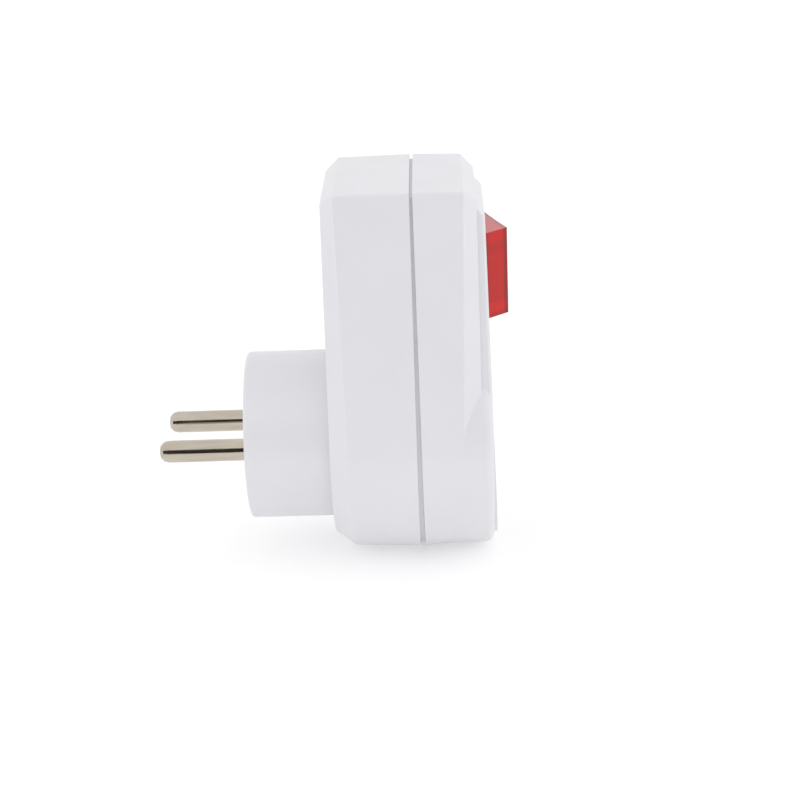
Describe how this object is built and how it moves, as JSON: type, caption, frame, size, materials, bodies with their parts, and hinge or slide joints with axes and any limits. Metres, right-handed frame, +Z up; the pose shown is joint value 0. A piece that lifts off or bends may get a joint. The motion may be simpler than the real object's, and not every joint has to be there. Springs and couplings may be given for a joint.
{
  "type": "plug-in remote control socket",
  "caption": "White plug-in switched socket: round-pin plug behind, earthed recess in front, red lit rocker above, receiver inside.",
  "frame": {"origin": "middle of the plug's face, half way between the two pins", "axes": "+X from the wall to the front, +Y across the width, +Z up"},
  "size_m": [0.0761, 0.051, 0.0835],
  "materials": {
    "white_plastic": "satin",
    "nickel": "polished",
    "steel_screw": "satin",
    "brass": "satin",
    "red_plastic": "gloss",
    "black_plastic": "matt",
    "cream_plastic": "matt",
    "spring_steel": "satin",
    "silver_contact": "satin",
    "lamp_glass": "clear",
    "board_green": "satin",
    "relay_blue": "matt",
    "capacitor_yellow": "matt",
    "capacitor_black": "satin",
    "ferrite_grey": "matt",
    "varistor_blue": "satin"
  },
  "bodies": {
    "housing": {"rear_housing": "white_plastic", "front_housing": "white_plastic", "housing_screws": "steel_screw", "live_pin": "nickel", "neutral_pin": "nickel", "pin_clamp": "cream_plastic", "earth_sleeve": "brass", "earth_link": "brass", "earth_pin": "nickel", "live_contact": "brass", "neutral_contact": "brass", "contact_carrier": "cream_plastic", "live_strap": "brass", "neutral_strap": "brass", "load_strap": "brass", "shutter_spring": "spring_steel", "switch_body": "black_plastic", "common_terminal": "brass", "output_terminal": "brass", "lamp": "lamp_glass", "lamp_holder": "black_plastic", "circuit_board": "board_green", "relay": "relay_blue", "film_capacitor": "capacitor_yellow", "electrolytic_capacitor": "capacitor_black", "receiver_chip": "black_plastic", "antenna_coil": "ferrite_grey", "varistor": "varistor_blue"},
    "rocker": {"rocker": "red_plastic", "plunger": "cream_plastic", "plunger_spring": "spring_steel"},
    "blade": {"contact_blade": "silver_contact"},
    "shutter": {"shutter": "cream_plastic"}
  },
  "joints": [
    {"name": "rocker_hinge", "type": "hinge", "parent": "housing", "child": "rocker", "pos_m": [0.04813, 0, 0.03825], "axis": [0, 0, 1], "range_deg": [-32, 0]},
    {"name": "blade_rock", "type": "hinge", "parent": "housing", "child": "blade", "pos_m": [0.03898, 0, 0.03825], "axis": [0, 0, 1], "range_deg": [0, 16]},
    {"name": "shutter_slide", "type": "slide", "parent": "housing", "child": "shutter", "axis": [0, 0, -1], "range_m": [0, 0.0069], "stiffness_N_per_m": 30, "springref_m": -0.012, "deforming": ["shutter_spring"]}
  ],
  "couplings": [
    {"joint": "blade_rock", "follows": "rocker_hinge", "ratio": -0.5}
  ]
}
